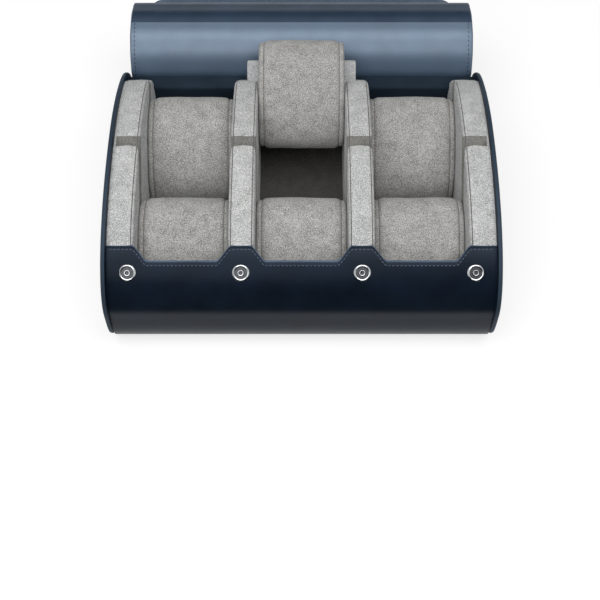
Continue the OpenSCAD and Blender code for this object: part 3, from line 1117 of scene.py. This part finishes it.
def end_half_width(s):
    """Half width of the flap at s, with the rounded corners of its free end."""
    left = FLAP_END - s
    if left >= FLAP_CORNER_R:
        return FLAP_W / 2
    return FLAP_W / 2 - FLAP_CORNER_R + math.sqrt(max(FLAP_CORNER_R ** 2 - (FLAP_CORNER_R - left) ** 2, 0))


def make_flap_end():
    """The stiff tail that carries the snaps, with rounded corners and a stitched rim."""
    radius = FLAP_T / 2
    straight = FLAP_END - FLAP_CORNER_R
    stops = [TAIL_START, TAIL_START + CUT_EDGE, *np.linspace(TAIL_START, straight, 24)[1:]]
    stops += [FLAP_END - FLAP_CORNER_R * (1 - math.sin(angle))
              for angle in np.linspace(0, math.pi / 2, 12)[1:-1]]
    rings = [flap_ring(s, end_half_width(s)) for s in stops]
    for k in range(1, 6):
        angle = math.pi / 2 * k / 5
        s = FLAP_END - radius + radius * math.sin(angle)
        half_width = end_half_width(min(s, FLAP_END - 0.25))
        rings.append(flap_ring(s, half_width, FLAP_T * max(math.cos(angle), 0.08)))
    tail = ring_loft("flap_end", rings)
    corner = FLAP_CORNER_R - STITCH_INSET
    half = FLAP_W / 2 - STITCH_INSET
    first = math.ceil(TAIL_START / STITCH_PITCH) * STITCH_PITCH
    stitches = []
    for s in np.arange(first, straight, STITCH_PITCH):
        stitches += stitches_at(s, -half) + stitches_at(s, half)
    for angle in np.linspace(0, math.pi / 2, 6)[1:-1]:
        s = straight + corner * math.sin(angle)
        for side in (-1, 1):
            stitches += stitches_at(s, side * (half - corner * (1 - math.cos(angle))),
                                    (-side * math.sin(angle), math.cos(angle)))
    for x in np.linspace(corner - half, half - corner, round(2 * (half - corner) / STITCH_PITCH)):
        stitches += stitches_at(FLAP_END - STITCH_INSET, x, (1, 0))
    tail = finish_flap_piece(tail, stitches)
    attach(tail, "flap_%02d" % STRIPS)
    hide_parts("flap_strip_%02d" % STRIPS)


def make_flap_root():
    """The band that is glued to the back wall."""
    rings = [flap_ring(s, inner_extra=FLAP_GAP) for s in np.linspace(0.3, ROOT_END, 14)]
    root = finish_flap_piece(ring_loft("flap_root_band", rings), [])
    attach(root, "case")
    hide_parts("flap_root")


make_bending_pieces()
make_flap_end()
make_flap_root()


# ---- Snaps ----

def lathe_turned(name, profile, places, material):
    """Round metal parts with one profile, turned about the axis at each (centre, axis)."""
    made = []
    for centre, axis in places:
        centre, axis = Vector(centre), Vector(axis).normalized()
        side = axis.orthogonal().normalized()
        other = axis.cross(side)

        def place(u, v):
            radius, height = profile[round(v * (len(profile) - 1))]
            angle = 2 * math.pi * u
            return centre + (side * math.cos(angle) + other * math.sin(angle)) * radius + axis * height

        made.append(patch(name, 48, len(profile) - 1, place))
    piece = join(*made)
    finish_with(piece, material)
    return piece


def snap_feet():
    """Places and outward axes of the four snaps on the closed front wall."""
    way = math.radians(section_heading(0, SNAP_ANGLE))
    y, z = section_point(0, SNAP_ANGLE)
    return [((x, y, z), (0, math.sin(way), -math.cos(way))) for x in SNAP_X]


# Profiles as (radius, height): a flange with a groove round a hollow post, a dome, and a ring.
STUD = [(0, -0.2), (SNAP_R, -0.2), (SNAP_R, 0.25), (SNAP_R - 0.25, 0.5), (SNAP_R - 0.8, 0.75),
        (SNAP_R - 1.3, 0.65), (3.6, 0.3), (2.3, 0.3), (2.05, 0.5), (1.98, 1.1), (1.85, 1.35), (1.6, 1.42),
        (1.25, 1.3), (1.0, 0.7), (0, 0.6)]
CAP = [(0, -0.3), (SNAP_R - 0.3, -0.3), (SNAP_R, 0), (SNAP_R, 0.35), (SNAP_R - 0.35, 0.8),
       (SNAP_R - 1.1, 1.25), (SNAP_R - 2.1, 1.65), (SNAP_R - 3.2, 1.95), (1.0, 2.1), (0, 2.14)]
SOCKET = [(2.3, 0), (4.4, 0), (4.6, 0.15), (4.4, 0.3), (3.6, 0.4), (3.2, 0.3), (2.7, 0.35), (2.3, 0.25),
          (2.3, 0)]
# Where the studs' painted shade lies: the groove round the post, and the post's bore.
GROOVE_FROM, GROOVE_TO, GROOVE_H = 2.1, 3.9, 0.6
POST_BORE_R = 1.15


def make_snaps():
    """Studs on the front wall, domes outside the flap and rings inside it."""
    feet = snap_feet()
    studs = lathe_turned("stud_rings", STUD, feet, snap_nickel)
    studs.data.materials.append(painted_shade_nickel)

    def in_shaded_hollow(centre, normal):
        foot, axis = min(((Vector(foot), Vector(axis)) for foot, axis in feet),
                         key=lambda pair: (pair[0] - centre).length)
        height = (centre - foot).dot(axis)
        radius = (centre - foot - axis * height).length
        return GROOVE_FROM < radius < GROOVE_TO and height < GROOVE_H or radius < POST_BORE_R

    # Painted shade: faces in the groove and in the post's bore get the darker nickel.
    paint(studs, 1, in_shaded_hollow)
    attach(studs, "case")
    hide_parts("snap_studs")

    def opened_places(level, facing):
        """Where parts on the studs' axes lie when the flap is open, at a level over the closed wall."""
        found = []
        for (x, y, z), (_, *axis) in feet:
            foot = np.array([y, z]) + np.array(axis) * level
            place, tip = opened(STRIPS, foot), opened(STRIPS, foot + np.array(axis) * facing)
            found.append(((x, *place), (0, *(tip - place))))
        return found

    caps = lathe_turned("snap_domes", CAP, opened_places(FLAP_OUT, 1), snap_nickel)
    sockets = lathe_turned("snap_rings", SOCKET, opened_places(FLAP_GAP, -1), snap_nickel)
    for piece, replaced in ((caps, "snap_caps"), (sockets, "snap_sockets")):
        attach(piece, "flap_%02d" % STRIPS)
        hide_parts(replaced)
    finish_with(frame["nodes"]["snap_washers"], snap_nickel)


make_snaps()
